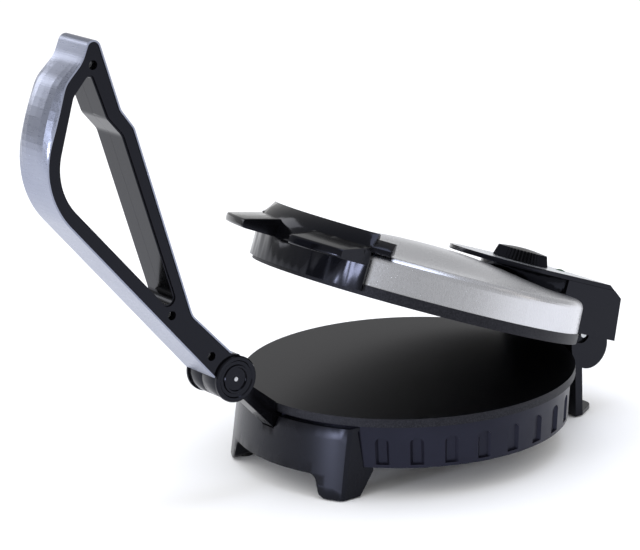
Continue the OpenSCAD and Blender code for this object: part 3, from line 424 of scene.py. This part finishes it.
class ROTI_OT_lid(bpy.types.Operator):
    """Finishes the steel cover, the black mouldings on it and the upper plate"""

    bl_idname = "roti.lid"
    bl_label = "Lid"

    def execute(self, context):
        settings = context.scene.roti_maker
        steel = brushed_stainless("satin stainless, lid cover", "#C8C9CE", "#CFD0D5", (1, 1, 0.05),
                                  0.24, 0.32)
        dress(["lid_cover"], steel)
        gloss = bpy.data.materials["polished phenolic, black"]
        dress(["lid_front_catch", "rear_housing", "control_panel"], gloss)
        soften(["lid_front_catch", "rear_housing", "control_panel"], settings.edge_radius)
        inlay = brushed_stainless("satin stainless, panel", "#C4C8D0", "#D6D9DF", (1, 0.05, 1),
                                  0.24, 0.34)
        dress(["panel_inlay"], inlay)
        dress(["upper_plate"], bpy.data.materials["PTFE-sprayed cast aluminium"])
        dress(["upper_element"], bpy.data.materials["oxidised nickel-alloy sheath"])
        dress(["upper_heat_shield"], bpy.data.materials["mill-finish aluminium sheet"])
        dress(["thermostat_body"], bpy.data.materials["unglazed steatite"])
        dress(["lid_screws"], bpy.data.materials["zinc-plated steel"])
        dress(["indicator_lens"], tinted_acrylic("tinted acrylic, green", "#06351C"))
        dress(["indicator_lamp"], tinted_acrylic("neon lamp glass", "#C87A48"))
        self.hinge_web(gloss)
        return {"FINISHED"}

    def hinge_web(self, material):
        """A guessed inner web, from cheek to cheek between the plate and the hinge."""
        # It doesn't close the gap seen beside the knuckle in the photograph's view
        plate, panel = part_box("lower_plate"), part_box("control_panel")
        front = PLATE_CENTRE.y + (plate[1][0] - plate[0][0]) / 2 + WEB_OFF_PLATE_MM * MM
        reach = HINGE_BARREL_MM * MM + WEB_OFF_BARREL_MM * MM
        arc = [(HINGE.y + reach * math.cos(angle), HINGE.z + reach * math.sin(angle))
               for angle in map(math.radians, WEB_ARC_DEG)]
        top = HINGE.z + WEB_MM * MM
        outline = arc + [(front, arc[-1][1]), (front, top), (arc[0][0], top)]
        half_width = (panel[1][0] - panel[0][0]) / 2 - WEB_INSIDE_PANEL_MM * MM
        web = prism("hinge_web", outline, half_width)
        web.data.transform(on_lid())
        dress([web], material)
        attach(web, "lid")


class ROTI_OT_knob(bpy.types.Operator):
    """Finishes the thermostat knob and its shaft"""

    bl_idname = "roti.knob"
    bl_label = "Knob"

    def execute(self, context):
        satin = moulded_phenolic("satin phenolic, black", "#0C0C0D", 0.28, 0.38)
        dress(["thermostat_knob"], satin)
        dress(["thermostat_shaft"], bpy.data.materials["zinc-plated steel"])
        return {"FINISHED"}


class ROTI_OT_handle(bpy.types.Operator):
    """Finishes the press handle, its steel band and the barrel"""

    bl_idname = "roti.handle"
    bl_label = "Handle"

    def execute(self, context):
        settings = context.scene.roti_maker
        gloss = bpy.data.materials["polished phenolic, black"]
        shells = ["handle_frame_right", "handle_frame_left"]
        caps = ["barrel_cap_right", "barrel_cap_left"]
        dress(shells + caps, gloss)
        soften(shells, settings.edge_radius)
        # The band's colour is partly the steel's own grey and partly a painted reflection: it is
        # darkened and blued to stand for the dim, cool surroundings that the band mirrors.
        steel = brushed_stainless("satin stainless with painted dim reflection, band", "#8C91A3", "#979CAD", (0.05, 1, 1),
                                  0.26, 0.34)
        dress(["handle_band"], steel)
        dress(["barrel_pin", "handle_screws"], bpy.data.materials["zinc-plated steel"])
        return {"FINISHED"}


def soft_lamp(name, place, aim, size, watts, tint="#FFFFFF"):
    """A square area lamp at a place, pointed at the aim."""
    data = bpy.data.lights.new(name, "AREA")
    data.shape = "RECTANGLE"
    data.size, data.size_y = size
    data.energy = watts
    data.color = from_hex(tint)[:3]
    lamp = bpy.data.objects.new(name, data)
    lamp.location = place
    lamp.rotation_mode = "QUATERNION"
    lamp.rotation_quaternion = (Vector(aim) - Vector(place)).to_track_quat("-Z", "Y")
    bpy.context.collection.objects.link(lamp)
    return lamp


class ROTI_OT_stage(bpy.types.Operator):
    """Makes the pale floor, the studio light and the camera"""

    bl_idname = "roti.stage"
    bl_label = "Stage"

    def floor(self, settings):
        """A pale floor disc, as white as the background."""
        mesh = bpy.data.meshes.new("floor")
        work = bmesh.new()
        bmesh.ops.create_circle(work, cap_ends=True, radius=FLOOR_RADIUS,
                                 segments=96)
        work.to_mesh(mesh)
        work.free()
        disc = bpy.data.objects.new("floor", mesh)
        disc.location.z = CAD_BOX[0][2]
        bpy.context.collection.objects.link(disc)
        material, _, shader = new_material("matt studio paper")
        set_shader(shader, Base_Color=settings.backdrop, Roughness=0.9)
        mesh.materials.append(material)

    def world(self):
        """A white dome, half as bright in reflections so that black and steel keep their depth."""
        world = bpy.data.worlds.new("studio dome")
        bpy.context.scene.world = world
        world.use_nodes = True
        tree = world.node_tree
        tree.nodes.clear()
        path = add_node(tree, "ShaderNodeLightPath")
        level = add_node(tree, "ShaderNodeMapRange", {"Value": path.outputs["Is Glossy Ray"],
                         "To Min": DOME_LEVEL, "To Max": DOME_IN_REFLECTIONS})
        back = add_node(tree, "ShaderNodeBackground", {"Color": (1, 1, 1, 1),
                        "Strength": level.outputs["Result"]})
        add_node(tree, "ShaderNodeOutputWorld", {"Surface": back.outputs["Background"]})

    def camera(self, settings):
        """The camera where the photograph was taken from."""
        turn, rise, roll = settings.camera_turn, settings.camera_rise, settings.camera_roll
        back = Vector((math.sin(turn) * math.cos(rise), -math.cos(turn) * math.cos(rise),
                       math.sin(rise)))
        right = Vector((math.cos(turn), math.sin(turn), 0))
        up = back.cross(right)
        across = right * math.cos(roll) + up * math.sin(roll)
        upward = up * math.cos(roll) - right * math.sin(roll)
        middle = Vector((PLATE_CENTRE.x, PLATE_CENTRE.y, PLATE_TOP))
        place = middle + back * settings.camera_distance
        # The object stands a little right of and below the middle of the picture
        place += across * FRAMING_RIGHT + upward * FRAMING_UP
        data = bpy.data.cameras.new("camera")
        data.sensor_width = SENSOR_MM
        data.lens = settings.lens_mm
        data.clip_end = 50
        camera = bpy.data.objects.new("camera", data)
        axes = Matrix((across, upward, back)).transposed().to_4x4()
        camera.matrix_world = Matrix.Translation(place) @ axes
        bpy.context.collection.objects.link(camera)
        bpy.context.scene.camera = camera

    def execute(self, context):
        settings = context.scene.roti_maker
        context.scene.view_settings.view_transform = "Standard"
        self.floor(settings)
        self.world()
        self.camera(settings)
        aim = Vector((0, PLATE_CENTRE.y, 0.1))
        for name, place, size, watts, tint in LAMPS:
            soft_lamp(name, place, aim, size, watts, tint)
        return {"FINISHED"}


# Framing offsets and the floor's radius are in metres
FRAMING_RIGHT = -0.06715
FRAMING_UP = 0.0687
FLOOR_RADIUS = 6.0
SENSOR_MM = 36
DOME_LEVEL = 1.05
DOME_IN_REFLECTIONS = 0.55
# Name, place, size, watts and tint
LAMPS = [
    ("overhead softbox", (0.1, 0.3, 1.7), (0.9, 0.9), 8, "#DFE8FF"),
    ("front strip", (0.12, -1.95, 0.24), (0.3, 0.46), 17, "#EEF2FF"),
    ("left softbox", (-1.7, -0.6, 0.9), (0.8, 0.8), 5, "#FFFFFF"),
    ("rear strip", (1.1, 1.5, 0.9), (0.3, 1.0), 1, "#FFF6EA"),
]

OPERATORS = [ROTI_OT_base, ROTI_OT_lid, ROTI_OT_knob, ROTI_OT_handle, ROTI_OT_stage]


class ROTI_PT_panel(bpy.types.Panel):
    """Lists the operators in the sidebar."""

    bl_label = "Roti Maker"
    bl_idname = "ROTI_PT_panel"
    bl_space_type = "VIEW_3D"
    bl_region_type = "UI"
    bl_category = "Roti Maker"

    def draw(self, context):
        settings = context.scene.roti_maker
        for name in settings.bl_rna.properties.keys():
            if name not in {"rna_type", "name"}:
                self.layout.prop(settings, name)
        for operator in OPERATORS:
            self.layout.operator(operator.bl_idname)


def register():
    """Registers the classes and the scene's settings."""
    for cls in (RotiMakerSettings, *OPERATORS, ROTI_PT_panel):
        bpy.utils.register_class(cls)
    bpy.types.Scene.roti_maker = bpy.props.PointerProperty(type=RotiMakerSettings)


def unregister():
    """Removes what register added."""
    del bpy.types.Scene.roti_maker
    for cls in (ROTI_PT_panel, *reversed(OPERATORS), RotiMakerSettings):
        bpy.utils.unregister_class(cls)


def main():
    """Runs every operator in order."""
    register()
    for operator in OPERATORS:
        group, action = operator.bl_idname.split(".")
        getattr(getattr(bpy.ops, group), action)()


if __name__ == "__main__":
    main()
